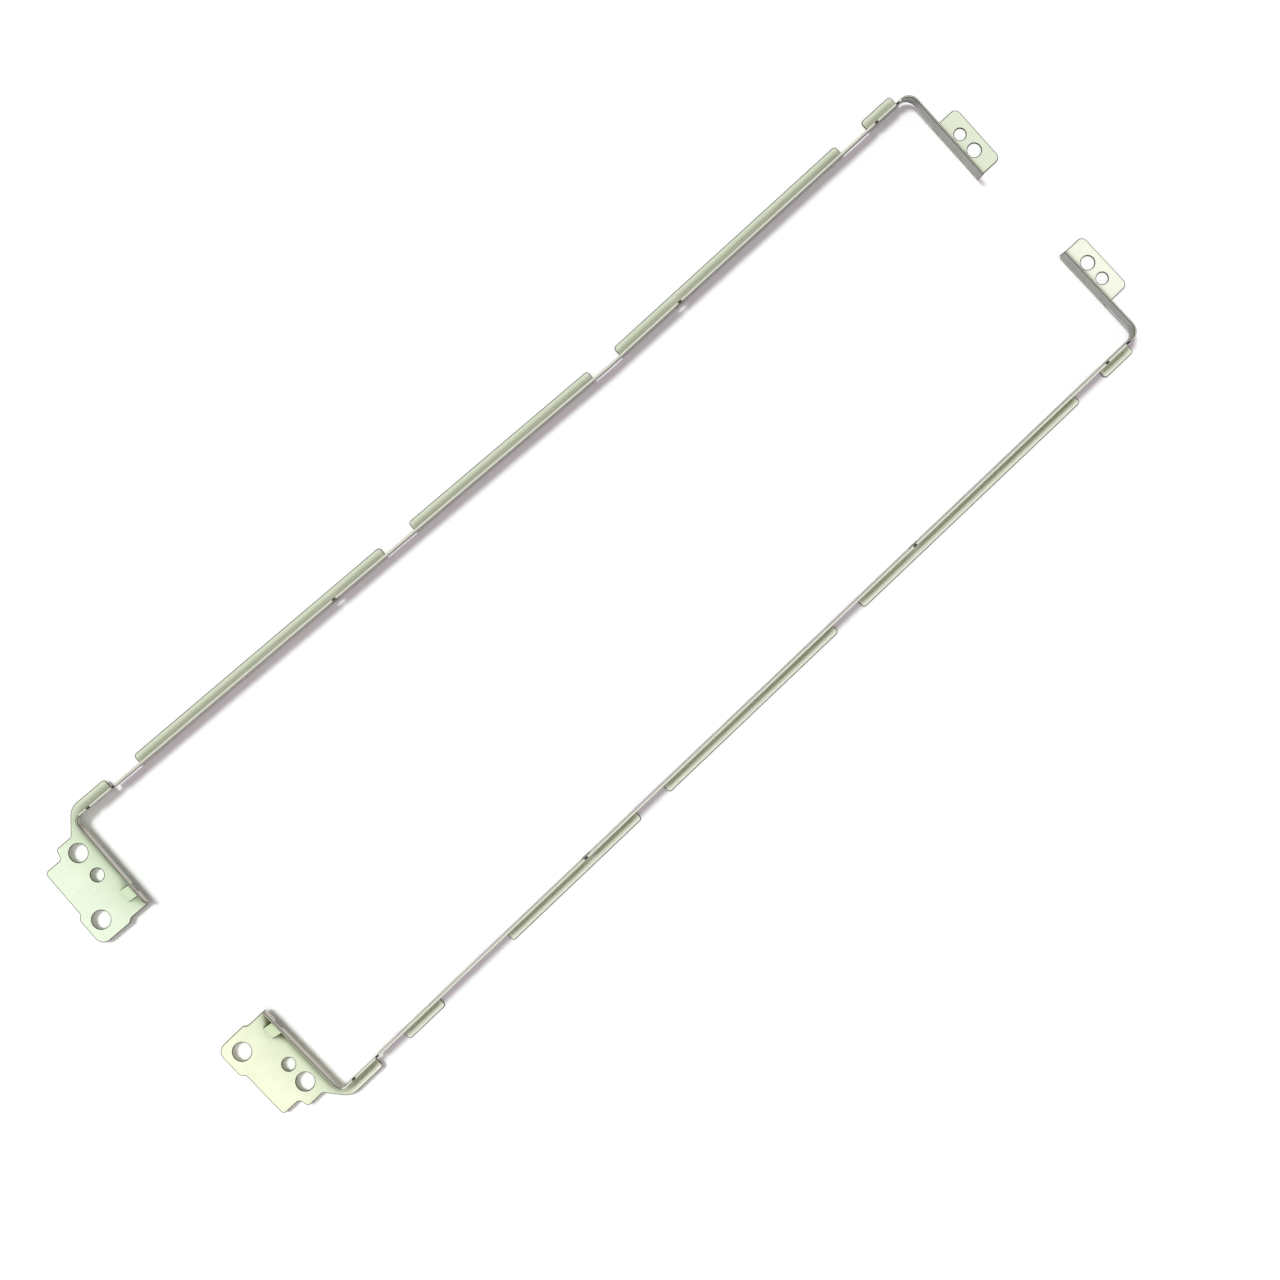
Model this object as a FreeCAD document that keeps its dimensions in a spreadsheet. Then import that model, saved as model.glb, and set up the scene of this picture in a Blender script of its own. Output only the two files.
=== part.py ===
# A left and a right screen bracket of a laptop, each folded from one strip of zinc-plated steel.
# A bracket is a long upright web with narrow flanges folded outward at its foot and an arm at each end.
# The lower arm carries the raised hinge plate, which runs round the corner as a tab beside the web.
# The upper arm carries a small plate with two screw holes.
# The screen panel stands between the two arms, with its edge against the web.
import FreeCAD, Part
import math
import os
import re
import Sketcher

# Driving dimensions in millimetres and degrees
# Along the rail they start at the lower arm's inner face, and inward at the web's inner face.
SIZES = {
    # Sheet, folds and the panel that fits between the arms
    "sheet": 0.4,
    "fold_radius": 0.9,
    "relief_margin": 0.2,
    "cut_margin": 0.5,
    "panel_height": 209.5,
    "panel_clearance": 0.2,
    # Upright web
    "web_height": 6.0,
    "hinge_corner": 1.4,
    "top_corner": 2.0,
    "left_arm_round": 2.0,
    "right_arm_round": 0.5,
    "top_arm_round": 0.5,
    "left_kink": 2.07,
    # Flanges along the rail and the gaps between them
    "flange_reach": 2.2,
    "flange_corner": 0.7,
    "first_flange_start": 15.2,
    "first_flange_length": 61.9,
    "split_tab_length": 9.7,
    "split_gap": 17.9,
    "first_gap": 7.2,
    "second_flange_length": 45.1,
    "second_gap": 6.7,
    "third_gap": 6.6,
    "last_flange_length": 7.6,
    "last_flange_inset": 1.8,
    # Notches in the web's upper edge, and the panel's screw holes
    "notch_width": 0.75,
    "notch_depth": 0.9,
    "low_notch": 3.45,
    "low_second_notch": 9.6,
    "low_screw": 64.5,
    "high_screw": 150.9,
    "high_notch_inset": 8.3,
    "high_second_notch_inset": 2.9,
    "screw_hole": 2.2,
    "screw_level": 3.0,
    # Hinge plate, measured out from the lower arm
    "hinge_lift": 2.2,
    "hinge_arm_end": 20.95,
    "hinge_plate_depth": 11.35,
    "hinge_plate_bulge": 0.85,
    "bulge_start": 14.2,
    "bulge_run": 0.8,
    "neck_edge": 1.75,
    "neck_end": 6.8,
    "shoulder_run": 0.5,
    "shoulder_edge": 3.85,
    "lip_end": 4.45,
    "lip_run": 0.7,
    "lip_step": 0.6,
    "edge_blend": 0.8,
    "plate_corner": 2.0,
    "neck_start": 3.05,
    "tab_start": 0.08,
    "tab_bend_radius": 3.4,
    "tab_end": 8.6,
    "tab_slot": 0.8,
    "hinge_hole": 3.6,
    "hinge_hole_out": 3.95,
    "left_hinge_hole_in": 5.0,
    "right_hinge_hole_in": 5.6,
    "pin_hole": 2.6,
    "left_pin_hole_in": 10.5,
    "right_pin_hole_in": 10.2,
    "left_far_hole_out": 8.95,
    "left_far_hole_in": 17.5,
    "right_far_hole_out": 8.7,
    "right_far_hole_in": 18.1,
    # Rib pressed into the hinge fold
    "rib_place": 17.1,
    "rib_width": 2.6,
    "rib_foot": 2.8,
    "rib_rise": 2.4,
    # Upper arm and its plate
    "top_arm_end": 20.8,
    "top_raise": 1.8,
    "top_plate_start": 7.6,
    "top_plate_end": 20.5,
    "top_plate_depth": 5.8,
    "top_plate_corner": 1.2,
    "top_hole_out": 3.0,
    "small_top_hole": 2.3,
    "small_top_hole_in": 11.9,
    "large_top_hole": 2.7,
    "large_top_hole_in": 16.0,
    # Where the two brackets lie beside each other
    "left_along": -0.6,
    "left_apart": 71.9,
    "left_turn": -3.25,
}

# Lengths that follow from the driving dimensions
RAIL = "(panel_height + panel_clearance)"
OUTSIDE_RADIUS = "(fold_radius + sheet)"
RELIEF = "(fold_radius + sheet + relief_margin)"
FLANGE_EDGE = "(-sheet - flange_reach)"
HINGE_EDGE = "(-sheet - hinge_plate_depth)"
BULGE_EDGE = "(-sheet - hinge_plate_depth - hinge_plate_bulge)"
TOP_FACE = "(panel_height + panel_clearance + sheet)"
SPLIT_START = "(first_flange_start + split_tab_length)"
SPLIT_END = f"({SPLIT_START} + split_gap)"
FIRST_END = "(first_flange_start + first_flange_length)"
SECOND_START = f"({FIRST_END} + first_gap)"
SECOND_END = f"({SECOND_START} + second_flange_length)"
KINK = f"({SECOND_END} + second_gap / 2)"
THIRD_START = f"({SECOND_END} + second_gap)"
LAST_END = f"({RAIL} - last_flange_inset)"
LAST_START = f"({LAST_END} - last_flange_length)"
THIRD_END = f"({LAST_START} - third_gap)"

# Two points closer than this are the same corner
CLOSE = 0.001

doc = FreeCAD.newDocument("screen_brackets")
sheet = doc.addObject("Spreadsheet::Sheet", "sizes")
for row, (alias, value) in enumerate(SIZES.items(), 1):
    sheet.set(f"A{row}", alias)
    sheet.set(f"B{row}", str(value))
    sheet.setAlias(f"B{row}", alias)
doc.recompute()


def bound(text):
    """Write a formula of size names as an expression on the spreadsheet."""
    return re.sub(r"[a-z_]+", lambda word: f"sizes.{word[0]}" if word[0] in SIZES else word[0], text)


def number(text):
    """Work out a formula of size names."""
    return float(sheet.evalExpression(bound(text)))


def tie(sketch, kind, geometry, point, formula):
    """Bind one coordinate of a sketch point to a formula."""
    name = f"{kind}_{geometry}"
    rule = Sketcher.Constraint(kind, -1, 1, geometry, point, number(formula))
    sketch.renameConstraint(sketch.addConstraint(rule), name)
    sketch.setExpression(f"Constraints.{name}", bound(formula))


def polygon(sketch, corners):
    """Close a line through corners that are given as pairs of formulas."""
    first = sketch.GeometryCount
    count = len(corners)
    points = [FreeCAD.Vector(number(x), number(y), 0) for x, y in corners]
    for place in range(count):
        sketch.addGeometry(Part.LineSegment(points[place], points[(place + 1) % count]))
    for place, (x, y) in enumerate(corners):
        following = first + (place + 1) % count
        sketch.addConstraint(Sketcher.Constraint("Coincident", first + place, 2, following, 1))
        tie(sketch, "DistanceX", first + place, 1, x)
        tie(sketch, "DistanceY", first + place, 1, y)


def circle(sketch, centre, diameter):
    """Draw a circle whose centre and diameter are formulas."""
    x, y = centre
    middle = FreeCAD.Vector(number(x), number(y), 0)
    upward = FreeCAD.Vector(0, 0, 1)
    drawn = sketch.addGeometry(Part.Circle(middle, upward, number(diameter) / 2))
    tie(sketch, "DistanceX", drawn, 3, x)
    tie(sketch, "DistanceY", drawn, 3, y)
    name = f"Diameter_{drawn}"
    rule = Sketcher.Constraint("Diameter", drawn, number(diameter))
    sketch.renameConstraint(sketch.addConstraint(rule), name)
    sketch.setExpression(f"Constraints.{name}", bound(diameter))


class Bracket:
    """One bracket, with its rail along X and its arms on the inward side of the rail."""

    def __init__(self, label, inward, kink):
        self.body = doc.addObject("PartDesign::Body", label)
        self.body.Label = label
        self.inward = inward
        self.kink = kink

    def spot(self, along, inside):
        """Give a plan point as formulas for X and Y, turned outward where it lies past the kink."""
        if self.kink and number(along) > number(KINK):
            past = f"({along} - {KINK})"
            turned = f"({KINK} + {past} * cos({self.kink}) + {inside} * sin({self.kink}))"
            inside = f"({inside} * cos({self.kink}) - {past} * sin({self.kink}))"
            along = turned
        return along, f"{self.inward} * {inside}"

    def straight(self, point):
        """Give a point's distances along the rail and inward, with the kink taken out."""
        along = point.x
        inside = self.inward * point.y
        if self.kink and along > number(KINK):
            past = along - number(KINK)
            turn = math.radians(number(self.kink))
            along = number(KINK) + past * math.cos(turn) - inside * math.sin(turn)
            inside = past * math.sin(turn) + inside * math.cos(turn)
        return along, inside

    def depth(self, point):
        """Measure how far a point lies behind the inner faces of the web and the arms."""
        along, inside = self.straight(point)
        low = number("hinge_corner")
        high = number("top_corner")
        from_top = number(RAIL) - along
        if along < low and inside < low:
            return math.hypot(low - along, low - inside) - low
        if from_top < high and inside < high:
            return math.hypot(high - from_top, high - inside) - high
        return max(-inside, -along, -from_top)

    def plane(self, name, role, offset):
        """Add an empty sketch on one of the body's own planes, moved along its normal."""
        sketch = self.body.newObject("Sketcher::SketchObject", f"{name}_sketch")
        support = [entry for entry in self.body.Origin.OriginFeatures if entry.Role == role][0]
        sketch.AttachmentSupport = [(support, "")]
        sketch.MapMode = "FlatFace"
        sketch.setExpression(".AttachmentOffset.Base.z", bound(offset))
        doc.recompute()
        return sketch

    def plan(self, name, outlines, offset="0"):
        """Draw outlines, each a list of plan points, seen from above."""
        sketch = self.plane(name, "XY_Plane", offset)
        for outline in outlines:
            polygon(sketch, [self.spot(along, inside) for along, inside in outline])
        return sketch

    def pad(self, name, sketch, length, both_ways=False):
        """Raise a sketch into the solid."""
        pad = self.body.newObject("PartDesign::Pad", name)
        pad.Profile = sketch
        pad.Midplane = both_ways
        pad.setExpression("Length", bound(length))
        doc.recompute()

    def pocket(self, name, sketch, length, reversed_way=False, both_ways=False):
        """Cut a sketch out of the solid, and make sure that it took something away."""
        before = self.body.Tip.Shape.Volume
        pocket = self.body.newObject("PartDesign::Pocket", name)
        pocket.Profile = sketch
        pocket.Reversed = reversed_way
        pocket.Midplane = both_ways
        pocket.setExpression("Length", bound(length))
        doc.recompute()
        if pocket.Shape.Volume > before - CLOSE:
            raise RuntimeError(f"{self.body.Label}: {name} cuts nothing")

    def edges(self, test):
        """Name the edges whose start, middle and end all pass a test."""
        names = []
        for place, edge in enumerate(self.body.Tip.Shape.Edges, 1):
            start, end = edge.ParameterRange
            points = [edge.valueAt(start), edge.valueAt((start + end) / 2), edge.valueAt(end)]
            if all(test(point) for point in points):
                names.append(f"Edge{place}")
        return names

    def upright(self, corners):
        """Name the upright edges that stand on the given plan corners."""
        spots = [self.spot(along, inside) for along, inside in corners]
        places = [(number(x), number(y)) for x, y in spots]
        return self.edges(lambda at: any(math.dist((at.x, at.y), place) < CLOSE for place in places))

    def folds(self, depth, levels):
        """Name the edges that follow the web and arms at a depth behind their inner face."""
        heights = [number(level) for level in levels]

        def on_fold(point):
            level = any(abs(point.z - height) < CLOSE for height in heights)
            return level and abs(self.depth(point) - number(depth)) < CLOSE

        return self.edges(on_fold)

    def fillet(self, name, radius, names):
        """Round the named edges."""
        base = self.body.Tip
        fillet = self.body.newObject("PartDesign::Fillet", name)
        fillet.Base = (base, names)
        fillet.setExpression("Radius", bound(radius))
        doc.recompute()


def box_outline(start, end, near, far):
    """Give the four plan corners between two places along the rail and two inward."""
    return [(start, near), (end, near), (end, far), (start, far)]


def across_web(start, end):
    """Outline a cut right across the web between two places along the rail."""
    return box_outline(start, end, "(-sheet - cut_margin)", "cut_margin")


def web(part):
    """Raise the web and the two arms as one strip with square corners."""
    inner = [("0", "hinge_arm_end"), ("0", "0")]
    outer = [("(-sheet)", "(-sheet)"), ("(-sheet)", "hinge_arm_end")]
    if part.kink:
        inner.append((KINK, "0"))
        outer.insert(0, (f"({KINK} - sheet * tan({part.kink} / 2))", "(-sheet)"))
    top = [(RAIL, "0"), (RAIL, "top_arm_end"), (TOP_FACE, "top_arm_end"), (TOP_FACE, "(-sheet)")]
    part.pad("web", part.plan("web", [inner + top + outer]), "web_height")


def foot_cuts(part, spans):
    """Shorten the web from below where it has no flange, and clear the ends of each fold."""
    hinge_end = box_outline("(-sheet - cut_margin)", "tab_end", "(-sheet - cut_margin)",
                            "(hinge_arm_end + cut_margin)")
    slot = across_web("tab_end", "(tab_end + tab_slot)")
    starts = [start for start, end in spans]
    ends = ["(tab_end + tab_slot)"] + [end for start, end in spans]
    gaps = [across_web(end, start) for end, start in zip(ends, starts)]
    arm_tip = box_outline(f"({RAIL} - cut_margin)", f"({TOP_FACE} + cut_margin)", "top_plate_end",
                          "(top_arm_end + cut_margin)")
    corner = box_outline(ends[-1], f"({TOP_FACE} + cut_margin)", "(-sheet - cut_margin)", "top_plate_start")
    cuts = {
        "hinge_end": ([hinge_end], "hinge_lift"),
        "tab_slot": ([slot], f"hinge_lift + {RELIEF}"),
        "flange_gaps": (gaps + [arm_tip], RELIEF),
        "top_corner": ([corner], "top_raise"),
    }
    for name, (outlines, height) in cuts.items():
        part.pocket(name, part.plan(name, outlines), height, reversed_way=True)


def hinge_plate_corners():
    """List the hinge plate's free corners, from the tab's end round to the lower arm's tip."""
    shoulder = "(-sheet - neck_end - shoulder_run)"
    lip_outer = "(-sheet - lip_end - lip_run)"
    plate_end = "(hinge_arm_end + lip_step)"
    return {
        "tab_tip": ("tab_end", FLANGE_EDGE),
        "tab_bend": ("tab_start", FLANGE_EDGE),
        "neck_start": ("(-sheet - neck_start)", "neck_edge"),
        "neck_end": ("(-sheet - neck_end)", "neck_edge"),
        "shoulder_start": (shoulder, "shoulder_edge"),
        "shoulder_end": (HINGE_EDGE, "shoulder_edge"),
        "bulge_start": (HINGE_EDGE, "bulge_start"),
        "bulge_end": (BULGE_EDGE, "(bulge_start + bulge_run)"),
        "plate_corner": (BULGE_EDGE, plate_end),
        "lip_outer": (lip_outer, plate_end),
        "lip_inner": ("(-sheet - lip_end)", "hinge_arm_end"),
    }


def plates(part, spans):
    """Add the hinge plate with its tab, the rail's flanges and the upper arm's plate."""
    free = hinge_plate_corners()
    hinge = list(free.values()) + [("0", "hinge_arm_end"), ("0", "0"), ("tab_end", "0")]
    part.pad("hinge_plate", part.plan("hinge_plate", [hinge], "hinge_lift"), "sheet")
    flanges = [box_outline(start, end, "0", FLANGE_EDGE) for start, end in spans]
    top_edge = f"({TOP_FACE} + top_plate_depth)"
    top_plate = box_outline(RAIL, top_edge, "top_plate_start", "top_plate_end")
    part.pad("flanges", part.plan("flanges", flanges + [top_plate]), "sheet")

    part.fillet("hinge_corner", "hinge_corner", part.upright([("0", "0")]))
    part.fillet("hinge_corner_outside", "hinge_corner + sheet", part.upright([("(-sheet)", "(-sheet)")]))
    part.fillet("top_corner", "top_corner", part.upright([(RAIL, "0")]))
    part.fillet("top_corner_outside", "top_corner + sheet", part.upright([(TOP_FACE, "(-sheet)")]))

    ends = [(place, FLANGE_EDGE) for span in spans for place in span]
    blended = [name for name in free if name not in ("tab_tip", "tab_bend", "plate_corner")]
    rounded = {
        "flange_ends": ("flange_corner", ends + [free["tab_tip"]]),
        "tab_bend": ("tab_bend_radius", [free["tab_bend"]]),
        "plate_corner": ("plate_corner", [free["plate_corner"]]),
        "plate_edges": ("edge_blend", [free[name] for name in blended]),
        "top_plate_ends": ("top_plate_corner", top_plate[1:3]),
    }
    for name, (radius, corners) in rounded.items():
        part.fillet(name, radius, part.upright(corners))


def fold_radii(part):
    """Round every fold line, inside by the fold radius and outside by that and the sheet."""
    part.fillet("fold_inside", "fold_radius", part.folds("sheet", ["sheet", "hinge_lift + sheet"]))
    part.fillet("fold_outside", OUTSIDE_RADIUS, part.folds("0", ["0", "hinge_lift"]))


def hinge_rib(part):
    """Press a hollow ramp into the hinge fold, one sheet thick all round."""
    across = f"{-part.inward} * rib_place"
    ramp = part.plane("rib", "XZ_Plane", across)
    foot = "(-sheet)"
    floor = "(hinge_lift + sheet)"
    polygon(ramp, [(foot, floor), ("(-sheet - rib_foot)", floor), (foot, f"({floor} + rib_rise)")])
    part.pad("rib", ramp, "rib_width", both_ways=True)

    slope = "sqrt(1 / rib_foot ^ 2 + 1 / rib_rise ^ 2)"
    run = f"(sheet + rib_foot * (1 + sheet / rib_rise - sheet * {slope}))"
    rise = f"(sheet + rib_rise * (1 + sheet / rib_foot - sheet * {slope}))"
    hollow = part.plane("rib_hollow", "XZ_Plane", across)
    polygon(hollow, [("0", "hinge_lift"), (f"(-{run})", "hinge_lift"), ("0", f"(hinge_lift + {rise})")])
    part.pocket("rib_hollow", hollow, "rib_width - 2 * sheet", both_ways=True)


def holes(part, side):
    """Pierce the two plates from below and the web from the side."""
    plate_holes = part.plan("plate_holes", [])
    hinge_row = "(-sheet - hinge_hole_out)"
    top_row = f"({TOP_FACE} + top_hole_out)"
    pierced = [
        (hinge_row, f"{side}_hinge_hole_in", "hinge_hole"),
        (hinge_row, f"{side}_pin_hole_in", "pin_hole"),
        (f"(-sheet - {side}_far_hole_out)", f"{side}_far_hole_in", "hinge_hole"),
        (top_row, "small_top_hole_in", "small_top_hole"),
        (top_row, "large_top_hole_in", "large_top_hole"),
    ]
    for along, inside, diameter in pierced:
        circle(plate_holes, part.spot(along, inside), diameter)
    part.pocket("plate_holes", plate_holes, "web_height", reversed_way=True)

    web_holes = part.plane("screw_holes", "XZ_Plane", "0")
    for screw in ("low_screw", "high_screw"):
        along, across = part.spot(screw, "0")
        circle(web_holes, (along, "screw_level"), "screw_hole")
    part.pocket("screw_holes", web_holes, "web_height + flange_reach", both_ways=True)


def notches(part):
    """Nick the web's upper edge over the screw holes and beside both corners."""
    places = ["low_notch", "low_second_notch", "low_screw", "high_screw"]
    places += [f"({RAIL} - high_notch_inset)", f"({RAIL} - high_second_notch_inset)"]
    cuts = [across_web(f"({place} - notch_width / 2)", f"({place} + notch_width / 2)") for place in places]
    part.pocket("notches", part.plan("notches", cuts, "web_height"), "notch_depth")


def arm_ends(part, side):
    """Round the upper corner at the tip of each arm."""
    for arm, radius in (("hinge_arm", f"{side}_arm_round"), ("top_arm", "top_arm_round")):
        def on_tip(point):
            along, inside = part.straight(point)
            own = (along < number(KINK)) == (arm == "hinge_arm")
            upper = abs(point.z - number("web_height")) < CLOSE
            return own and upper and abs(inside - number(f"{arm}_end")) < CLOSE

        part.fillet(f"{arm}_tip", radius, part.edges(on_tip))


def bracket(side, inward, first_spans, kink=None):
    """Build one bracket with its flanges on the outward side of the rail."""
    part = Bracket(f"{side}_bracket", inward, kink)
    spans = first_spans + [(SECOND_START, SECOND_END), (THIRD_START, THIRD_END), (LAST_START, LAST_END)]
    web(part)
    foot_cuts(part, spans)
    plates(part, spans)
    fold_radii(part)
    hinge_rib(part)
    holes(part, side)
    notches(part)
    arm_ends(part, side)
    return part.body


# The left bracket's first flange is whole, and its rail is slightly kinked
left = bracket("left", -1, [("first_flange_start", FIRST_END)], kink="left_kink")
# The right bracket's first flange is split in two, and its rail is straight
right = bracket("right", 1, [("first_flange_start", SPLIT_START), (SPLIT_END, FIRST_END)])

# Lay the left bracket beside the right one
left.setExpression(".Placement.Rotation.Angle", bound("left_turn"))
left.setExpression(".Placement.Base.x", bound("left_along"))
left.setExpression(".Placement.Base.y", bound("left_apart"))
doc.recompute()

# Move the pair so that the origin is the middle of its footprint on the table
footprint = left.Shape.BoundBox
footprint.add(right.Shape.BoundBox)
middle = footprint.Center
left.setExpression(".Placement.Base.x", bound(f"left_along - ({middle.x})"))
left.setExpression(".Placement.Base.y", bound(f"left_apart - ({middle.y})"))
right.Placement.Base = FreeCAD.Vector(-middle.x, -middle.y, 0)
doc.recompute()

for item in doc.Objects:
    if "Invalid" in item.State or "Error" in item.State:
        raise RuntimeError(f"{item.Label} failed: {item.State}")
for body in (left, right):
    if body.Shape.isNull() or not body.Shape.isValid() or len(body.Shape.Solids) != 1:
        raise RuntimeError(f"{body.Label} is not one sound solid")

os.makedirs("parts", exist_ok=True)
for body in (left, right):
    body.Shape.exportStep(f"parts/{body.Label}.step")
    print(body.Label, round(body.Shape.Volume, 2), body.Shape.BoundBox)
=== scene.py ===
import math

import bpy
from mathutils import Matrix, Vector


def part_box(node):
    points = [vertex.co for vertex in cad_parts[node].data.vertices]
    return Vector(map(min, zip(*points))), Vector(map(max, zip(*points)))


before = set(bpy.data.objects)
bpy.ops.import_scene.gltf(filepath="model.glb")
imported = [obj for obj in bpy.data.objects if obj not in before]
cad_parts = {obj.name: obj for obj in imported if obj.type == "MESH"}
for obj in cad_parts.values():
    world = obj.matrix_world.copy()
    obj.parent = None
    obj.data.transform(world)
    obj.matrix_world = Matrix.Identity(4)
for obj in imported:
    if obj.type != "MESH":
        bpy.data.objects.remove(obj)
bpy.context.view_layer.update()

MM = 0.001

# How the pair is seen, from straight above
IMAGE_PIXELS = 1280
PIXELS_PER_MM = 5.19
CAMERA_HEIGHT = 400 * MM
CAMERA_LEAN = 12 * MM
NEAREST_SEEN = 10 * MM
SENSOR_WIDTH = 36.0
RAIL_ANGLE = math.radians(43.55)
IMAGE_RIGHT = Vector((math.cos(RAIL_ANGLE), -math.sin(RAIL_ANGLE), 0))
IMAGE_UP = Vector((math.sin(RAIL_ANGLE), math.cos(RAIL_ANGLE), 0))
# The middle of the image, measured from the low corner of the right bracket's box
IMAGE_MIDDLE = Vector((113.1 * MM, 25.3 * MM, 0))
TABLE_REACH = 4.0

# The rails run along X with their hinge ends at the low end, the left one slightly turned
LEFT_TURN = math.radians(3.25)
RAIL_MIDDLE = 2.9 * MM
RAIL_HALF = 103.1 * MM
# Where the hinge plate's tint passes into the rail's, and how much of that is left to the mottle
TINT_SPAN = (-108 * MM, -96 * MM)
TINT_MOTTLE = 0.4
# Where painted shade makes the plate darker and greener towards its fold, and where that ends behind the fold
HINGE_SHADE_RISE = (-110 * MM, -102 * MM)
HINGE_SHADE_FALL = (-103 * MM, -98 * MM)
HINGE_SHADE_SHARE = 0.45
# Where the painted shade on the walls passes from the hinge end's to the top end's
WALL_SHADE_SPAN = (-100 * MM, 100 * MM)
# Where the painted shade in the folds grows to its full strength, how thin it starts and how wide it lies
FOLD_SHADE_SPAN = (-107 * MM, -100 * MM)
FOLD_SHADE_THINNEST = 0.3
FOLD_SHADE_REACH = 2.3 * MM
FOLD_SHADE_OPENNESS = (0.6, 1.0)
# The nicks' floors in the rails, which get painted shade, and the height above which the rails' upper edges
# get a painted highlight
NICK_FLOOR = 5.1 * MM
NICK_MARGIN = 0.1 * MM
EDGE_HIGHLIGHT_LEVEL = 5.4 * MM
# Upward parts of the normal, up to which a face is a wall and from which it is a floor
WALL_UPWARD = 0.35
FLOOR_UPWARD = 0.9

# Sizes of the patterns, with the lines and the grit drawn coarser than real so that they show
MOTTLE_SIZE = 6 * MM
LINE_LENGTH = 5 * MM
LINE_SPACING = 0.3 * MM
GRIT_SIZE = 0.25 * MM
TORN_SIZE = 0.8 * MM
FIBRE_SIZE = 0.8 * MM
RELIEF_DEPTH = 0.004 * MM
RELIEF_STRENGTH = 0.25
# The values between which nearly all of a noise lies
NOISE_SPAN = (0.3, 0.7)

# Easing of the cut edges
JOINING_REACH = 0.002 * MM
FLAT_ANGLE = math.radians(0.5)
EDGE_EASING = 0.15 * MM
EDGE_ANGLE = math.radians(55)

# Colours of the metal, and of the painted shade and highlight laid on it
# Painted shade, darker and greener, beside the hinge fold
HINGE_SIDE_SHADE = "#ABC89C"
# Painted shade on the upright walls, at the hinge end and at the top end
HINGE_WALL_SHADE = "#B4ADA4"
TOP_WALL_SHADE = "#8F908A"
# Painted olive shade in the folds
FOLD_SHADE = "#5A6034"
# Painted shade in the nicks' floors
NICK_SHADE = "#2E2C24"
# Bare cut steel, darkened further as painted shade of the cut edges
SHADED_CUT_DARK = "#2A2924"
SHADED_CUT_PALE = "#4E4D44"
# Painted highlight along the rails' upper edges
EDGE_HIGHLIGHT = "#D2D6C4"

# Light of the room: its ceiling, walls and window as the metal shows them, and what it gives the table
CEILING_LIGHT = 1.2
CEILING_SPAN = (0.5, 0.85)
WALL_LIGHT = 0.6
WINDOW_LIGHT = 0.95
WINDOW_RISE = math.radians(12)
WINDOW_LEFT = 0.8
WINDOW_DOWN = 0.6
WINDOW_SPAN = (0.75, 0.95)
ROOM_LIGHT = 0.355
ROOM_LILAC = "#FFEAF6"
MIRRORED_ROOM = "#FFF8FF"

# The main lamp is slightly green, so that with the lilac room it leaves the table white
MAIN_COLOUR = (0.907, 1.0, 0.948)
MAIN_POWER = 2.2
MAIN_LEFT = 0.23
MAIN_UP = 0.18
OVERHEAD_COLOUR = (1, 1, 1)
OVERHEAD_POWER = 0.45
LAMP_HEIGHT = 0.95
LAMP_SPREAD = math.radians(11.5)


def linear(colour):
    """Turn an sRGB hex colour into linear values."""
    channels = [int(colour[place:place + 2], 16) / 255 for place in (1, 3, 5)]
    bright = [c / 12.92 if c <= 0.04045 else ((c + 0.055) / 1.055) ** 2.4 for c in channels]
    return (*bright, 1.0)


def add(tree, kind, inputs, **settings):
    """Add a node with its settings, and give each input a value or a link."""
    node = tree.nodes.new(kind)
    for name, value in settings.items():
        setattr(node, name, value)
    for socket, value in inputs.items():
        if isinstance(value, bpy.types.NodeSocket):
            tree.links.new(value, node.inputs[socket])
        else:
            node.inputs[socket].default_value = value
    return node


def mixed(tree, share, first, second):
    """Mix two colours, each given as a hex colour or a link."""
    colours = [linear(side) if isinstance(side, str) else side for side in (first, second)]
    inputs = {"Factor": share, 6: colours[0], 7: colours[1]}
    return add(tree, "ShaderNodeMix", inputs, data_type="RGBA").outputs[2]


def worked_out(tree, operation, *values, **settings):
    """Work out one sum, product or comparison."""
    inputs = dict(enumerate(values))
    return add(tree, "ShaderNodeMath", inputs, operation=operation, **settings).outputs["Value"]


def ramp(tree, value, span, levels, **settings):
    """Carry a value from its span to a pair of levels, and hold it beyond both ends."""
    inputs = {"Value": value, "From Min": span[0], "From Max": span[1],
              "To Min": levels[0], "To Max": levels[1]}
    return add(tree, "ShaderNodeMapRange", inputs, **settings).outputs["Result"]


def per_metre(size):
    """Give the texture scale at which a pattern's features have a size."""
    return 1 / size


def noise(tree, place, size, detail, roughness):
    """Give a soft pattern with patches of a size."""
    inputs = {"Vector": place, "Scale": per_metre(size), "Detail": detail, "Roughness": roughness}
    return add(tree, "ShaderNodeTexNoise", inputs).outputs["Fac"]


def new_material(name):
    """Start a material with an empty tree of nodes."""
    material = bpy.data.materials.new(name)
    material.use_nodes = True
    material.node_tree.nodes.clear()
    return material, material.node_tree


def rolling_lines(tree, place, turn):
    """Give fine lines that run along the strip."""
    strip = add(tree, "ShaderNodeMapping",
                {"Vector": place, "Rotation": (0, 0, turn),
                 "Scale": (per_metre(LINE_LENGTH), per_metre(LINE_SPACING), per_metre(LINE_SPACING))})
    inputs = {"Vector": strip.outputs["Vector"], "Scale": 1.0, "Detail": 3.0, "Roughness": 0.55}
    return add(tree, "ShaderNodeTexNoise", inputs).outputs["Fac"]


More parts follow.
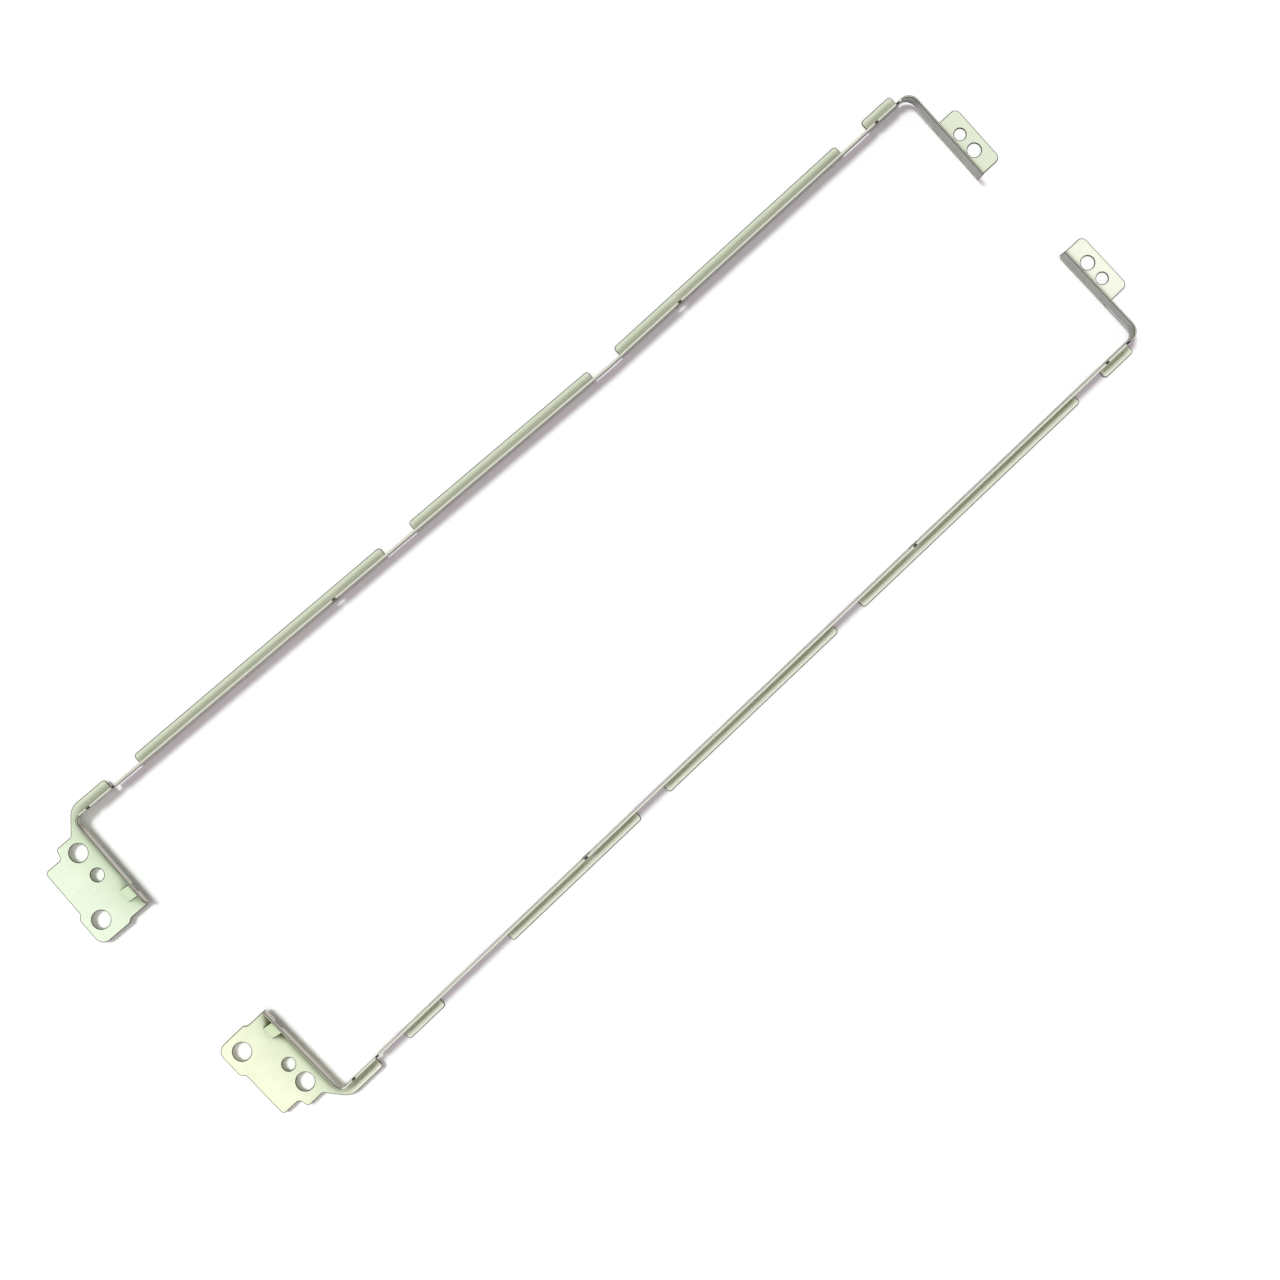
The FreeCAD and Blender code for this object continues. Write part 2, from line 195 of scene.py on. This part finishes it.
def plating_colour(tree, along, mottle, lines, hinge_tint, top_tint):
    """Pass from the hinge plate's tint to the rail's in uneven patches, with painted shade, darker and
    greener, beside the hinge fold.
    """
    passed = ramp(tree, along, TINT_SPAN, (-TINT_MOTTLE / 2, 1 - TINT_MOTTLE / 2))
    share = worked_out(tree, "MULTIPLY_ADD", mottle, TINT_MOTTLE, passed, use_clamp=True)
    tinted = mixed(tree, share, hinge_tint, top_tint)
    rise = ramp(tree, along, HINGE_SHADE_RISE, (0.0, HINGE_SHADE_SHARE))
    fall = ramp(tree, along, HINGE_SHADE_FALL, (1.0, 0.0))
    hinge_shaded = mixed(tree, worked_out(tree, "MULTIPLY", rise, fall), tinted, HINGE_SIDE_SHADE)
    patch = ramp(tree, mottle, NOISE_SPAN, (0.93, 1.05))
    streak = ramp(tree, lines, NOISE_SPAN, (0.97, 1.03))
    tone = worked_out(tree, "MULTIPLY", patch, streak)
    return add(tree, "ShaderNodeVectorMath", {0: hinge_shaded, "Scale": tone}, operation="SCALE").outputs["Vector"]


def with_painted_wall_shade(tree, colour, along, upward):
    """Paint shade on the upright walls, warm grey at the hinge end and darker at the top end."""
    upright = worked_out(tree, "COMPARE", upward, 0.0, WALL_UPWARD)
    wall_shade = mixed(tree, ramp(tree, along, WALL_SHADE_SPAN, (0.0, 1.0)), HINGE_WALL_SHADE, TOP_WALL_SHADE)
    return mixed(tree, upright, colour, wall_shade)


def with_painted_fold_shade(tree, colour, along, fold_shade):
    """Paint olive shade into the folds where the occlusion measure finds them, thinner on the hinge plate."""
    open_air = add(tree, "ShaderNodeAmbientOcclusion", {"Distance": FOLD_SHADE_REACH}, samples=8, only_local=True)
    fold_shading = ramp(tree, open_air.outputs["AO"], FOLD_SHADE_OPENNESS, (fold_shade, 0.0), interpolation_type="SMOOTHSTEP")
    thinned = ramp(tree, along, FOLD_SHADE_SPAN, (FOLD_SHADE_THINNEST, 1.0))
    return mixed(tree, worked_out(tree, "MULTIPLY", fold_shading, thinned), colour, FOLD_SHADE)


def with_painted_nick_shade(tree, colour, height, upward):
    """Paint shade on the nicks' floors, which lie just under the rail's upper edge."""
    level = worked_out(tree, "COMPARE", height, NICK_FLOOR, NICK_MARGIN)
    flat = worked_out(tree, "GREATER_THAN", upward, FLOOR_UPWARD)
    return mixed(tree, worked_out(tree, "MULTIPLY", level, flat), colour, NICK_SHADE)


def fine_relief(tree, lines, grit):
    """Raise the rolling lines and the grit by a few thousandths of a millimetre."""
    depth = {"Strength": RELIEF_STRENGTH, "Distance": RELIEF_DEPTH}
    rolled = add(tree, "ShaderNodeBump", {"Height": lines, **depth}).outputs["Normal"]
    return add(tree, "ShaderNodeBump", {"Height": grit, **depth, "Normal": rolled}).outputs["Normal"]


def zinc_plated_steel(name, hinge_tint, top_tint, fold_shade, turn):
    """Rolled steel strip with a satin zinc plating and a thin greenish passivation layer.

    The eye gets a satin metal that is greenest at the hinge end, with painted shade beside the hinge fold,
    a soft mottle in tint and gloss, fine rolling lines along the strip, painted shade on the upright walls,
    warm grey at the hinge end and darker at the top end, olive painted shade in the folds and dark
    painted shade in the nicks' floors.
    """
    material, tree = new_material(name)
    place = add(tree, "ShaderNodeTexCoord", {}).outputs["Object"]
    where = add(tree, "ShaderNodeSeparateXYZ", {"Vector": place})
    along = where.outputs["X"]
    height = where.outputs["Z"]
    facing = add(tree, "ShaderNodeNewGeometry", {}).outputs["True Normal"]
    upward = add(tree, "ShaderNodeSeparateXYZ", {"Vector": facing}).outputs["Z"]
    mottle = noise(tree, place, MOTTLE_SIZE, detail=5.0, roughness=0.6)
    grit = noise(tree, place, GRIT_SIZE, detail=2.0, roughness=0.5)
    lines = rolling_lines(tree, place, turn)

    colour = plating_colour(tree, along, mottle, lines, hinge_tint, top_tint)
    # Painted shade beside the hinge fold, on the upright walls, in the folds and in the nicks' floors
    colour = with_painted_wall_shade(tree, colour, along, upward)
    colour = with_painted_fold_shade(tree, colour, along, fold_shade)
    colour = with_painted_nick_shade(tree, colour, height, upward)

    satin = ramp(tree, mottle, NOISE_SPAN, (0.34, 0.46))
    lined = ramp(tree, lines, NOISE_SPAN, (-0.04, 0.04))
    steel = add(tree, "ShaderNodeBsdfPrincipled",
                {"Base Color": colour, "Metallic": 0.95,
                 "Roughness": worked_out(tree, "ADD", satin, lined),
                 "Normal": fine_relief(tree, lines, grit)})
    add(tree, "ShaderNodeOutputMaterial", {"Surface": steel.outputs["BSDF"]})
    return material


def sheared_steel():
    """Bare steel where the strip was sheared and pierced, matt and dark, and darkened further with painted
    shade.

    The eye gets a thin grey-brown line round every outline and hole, partly painted shade, and a painted
    highlight along the rail's upper edge.
    """
    material, tree = new_material("cut_edge_and_painted_shade")
    place = add(tree, "ShaderNodeTexCoord", {}).outputs["Object"]
    where = add(tree, "ShaderNodeSeparateXYZ", {"Vector": place})
    torn = noise(tree, place, TORN_SIZE, detail=3.0, roughness=0.6)
    # The cut's tones are bare steel, darkened further as painted shade
    cut = mixed(tree, torn, SHADED_CUT_DARK, SHADED_CUT_PALE)
    # Painted highlight along the rails' upper edges, above a height and between the arms
    upper = worked_out(tree, "GREATER_THAN", where.outputs["Z"], EDGE_HIGHLIGHT_LEVEL)
    rail = worked_out(tree, "COMPARE", where.outputs["X"], RAIL_MIDDLE, RAIL_HALF)
    colour = mixed(tree, worked_out(tree, "MULTIPLY", upper, rail), cut, EDGE_HIGHLIGHT)
    steel = add(tree, "ShaderNodeBsdfPrincipled",
                {"Base Color": colour, "Metallic": 0.9, "Roughness": 0.35})
    add(tree, "ShaderNodeOutputMaterial", {"Surface": steel.outputs["BSDF"]})
    return material


def dress(node, plating, edge):
    """Give a bracket its finish, and ease its cut edges as shearing does."""
    node.data.materials.clear()
    node.data.materials.append(plating)
    node.data.materials.append(edge)
    joined = node.modifiers.new("joined", "WELD")
    joined.merge_threshold = JOINING_REACH
    flats = node.modifiers.new("flats", "DECIMATE")
    flats.decimate_type = "DISSOLVE"
    flats.angle_limit = FLAT_ANGLE
    eased = node.modifiers.new("eased", "BEVEL")
    eased.width = EDGE_EASING
    eased.use_clamp_overlap = False
    eased.segments = 2
    eased.limit_method = "ANGLE"
    eased.angle_limit = EDGE_ANGLE
    eased.harden_normals = True
    eased.material = 1


def matt_white_paper():
    """White paper with a faint grain, which takes soft shadows and has no gloss."""
    material, tree = new_material("matt_white_paper")
    place = add(tree, "ShaderNodeTexCoord", {}).outputs["Object"]
    fibres = noise(tree, place, FIBRE_SIZE, detail=3.0, roughness=0.5)
    matt = add(tree, "ShaderNodeBsdfDiffuse", {"Color": mixed(tree, fibres, "#F6F5F6", "#FAFAFA")})
    add(tree, "ShaderNodeOutputMaterial", {"Surface": matt.outputs["BSDF"]})
    return material


def table_top():
    """Lay a wide white table under the pair."""
    mesh = bpy.data.meshes.new("table")
    ends = (-TABLE_REACH, TABLE_REACH)
    corners = [(ends[x], ends[y], 0) for x, y in ((0, 0), (1, 0), (1, 1), (0, 1))]
    mesh.from_pydata(corners, [], [(0, 1, 2, 3)])
    mesh.materials.append(matt_white_paper())
    table = bpy.data.objects.new("table", mesh)
    bpy.context.scene.collection.objects.link(table)


def white_room():
    """Surround the pair with walls that pass into a white ceiling, and a window at the lower left."""
    world = bpy.data.worlds.new("white_room")
    bpy.context.scene.world = world
    world.use_nodes = True
    tree = world.node_tree
    tree.nodes.clear()
    ray = add(tree, "ShaderNodeLightPath", {})
    mirrored = ray.outputs["Is Glossy Ray"]
    seen = worked_out(tree, "MAXIMUM", ray.outputs["Is Camera Ray"], ray.outputs["Is Transmission Ray"])

    way = add(tree, "ShaderNodeTexCoord", {}).outputs["Generated"]
    rise = add(tree, "ShaderNodeSeparateXYZ", {"Vector": way}).outputs["Z"]
    ceiling = ramp(tree, rise, CEILING_SPAN, (WALL_LIGHT, CEILING_LIGHT), interpolation_type="SMOOTHSTEP")
    window_way = (-IMAGE_UP * WINDOW_DOWN - IMAGE_RIGHT * WINDOW_LEFT) * math.cos(WINDOW_RISE)
    window_way.z = math.sin(WINDOW_RISE)
    towards = add(tree, "ShaderNodeVectorMath", {0: way, 1: window_way}, operation="DOT_PRODUCT")
    window = ramp(tree, towards.outputs["Value"], WINDOW_SPAN, (0.0, WINDOW_LIGHT),
                  interpolation_type="SMOOTHSTEP")
    surroundings = worked_out(tree, "ADD", ceiling, window)
    level = ramp(tree, mirrored, (0.0, 1.0), (ROOM_LIGHT, 1.0))
    strength = worked_out(tree, "MULTIPLY", surroundings, level)

    # What the walls and table throw back is slightly lilac
    cast = mixed(tree, mirrored, ROOM_LILAC, MIRRORED_ROOM)
    room = add(tree, "ShaderNodeBackground", {"Color": cast, "Strength": strength})
    # What is seen directly behind the pair is plain white
    white = add(tree, "ShaderNodeBackground", {"Color": linear("#FFFFFF"), "Strength": 1.0})
    whole = add(tree, "ShaderNodeMixShader",
                {0: seen, 1: room.outputs["Background"], 2: white.outputs["Background"]})
    add(tree, "ShaderNodeOutputWorld", {"Surface": whole.outputs["Shader"]})


def lamps(middle):
    """Hang a main lamp at the upper left and a weak one overhead, so far off that they light evenly."""
    overhead = Vector((0, 0, LAMP_HEIGHT))
    main = IMAGE_UP * MAIN_UP - IMAGE_RIGHT * MAIN_LEFT + overhead
    kinds = (("main_lamp", main, MAIN_POWER, MAIN_COLOUR),
             ("overhead_lamp", overhead, OVERHEAD_POWER, OVERHEAD_COLOUR))
    for name, place, power, colour in kinds:
        lamp = bpy.data.lights.new(name, "SUN")
        lamp.angle = LAMP_SPREAD
        lamp.energy = power
        lamp.color = colour
        holder = bpy.data.objects.new(name, lamp)
        holder.location = middle + place
        holder.rotation_euler = (-place).to_track_quat("-Z", "Y").to_euler()
        holder.visible_glossy = False
        bpy.context.scene.collection.objects.link(holder)


def camera(middle):
    """Look down on the pair as the photograph does."""
    lens = bpy.data.cameras.new("camera")
    lens.sensor_width = SENSOR_WIDTH
    lens.lens = SENSOR_WIDTH * CAMERA_HEIGHT / (IMAGE_PIXELS / PIXELS_PER_MM * MM)
    lens.clip_start = NEAREST_SEEN
    holder = bpy.data.objects.new("camera", lens)
    stand = middle + Vector((0, CAMERA_LEAN, CAMERA_HEIGHT))
    back = (stand - middle).normalized()
    right = IMAGE_RIGHT - back * IMAGE_RIGHT.dot(back)
    right.normalize()
    up = back.cross(right)
    turned = Matrix((right, up, back)).transposed().to_4x4()
    turned.translation = stand
    holder.matrix_world = turned
    bpy.context.scene.collection.objects.link(holder)
    bpy.context.scene.camera = holder


sheared = sheared_steel()
# The right bracket gets heavier painted shade in its folds, as its flanges lie in the web's shadow
left_plating = zinc_plated_steel("zinc_plated_steel_left", hinge_tint="#E2F4D6", top_tint="#DCE8CD",
                                 fold_shade=0.85, turn=LEFT_TURN)
dress(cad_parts["left_bracket"], left_plating, sheared)
right_plating = zinc_plated_steel("zinc_plated_steel_right", hinge_tint="#EDF7D4", top_tint="#EDF6DF",
                                  fold_shade=1.35, turn=0.0)
dress(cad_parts["right_bracket"], right_plating, sheared)

right_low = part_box("right_bracket")[0]
image_middle = Vector((right_low.x, right_low.y, 0)) + IMAGE_MIDDLE
table_top()
white_room()
lamps(image_middle)
camera(image_middle)
bpy.context.scene.view_settings.view_transform = "Standard"
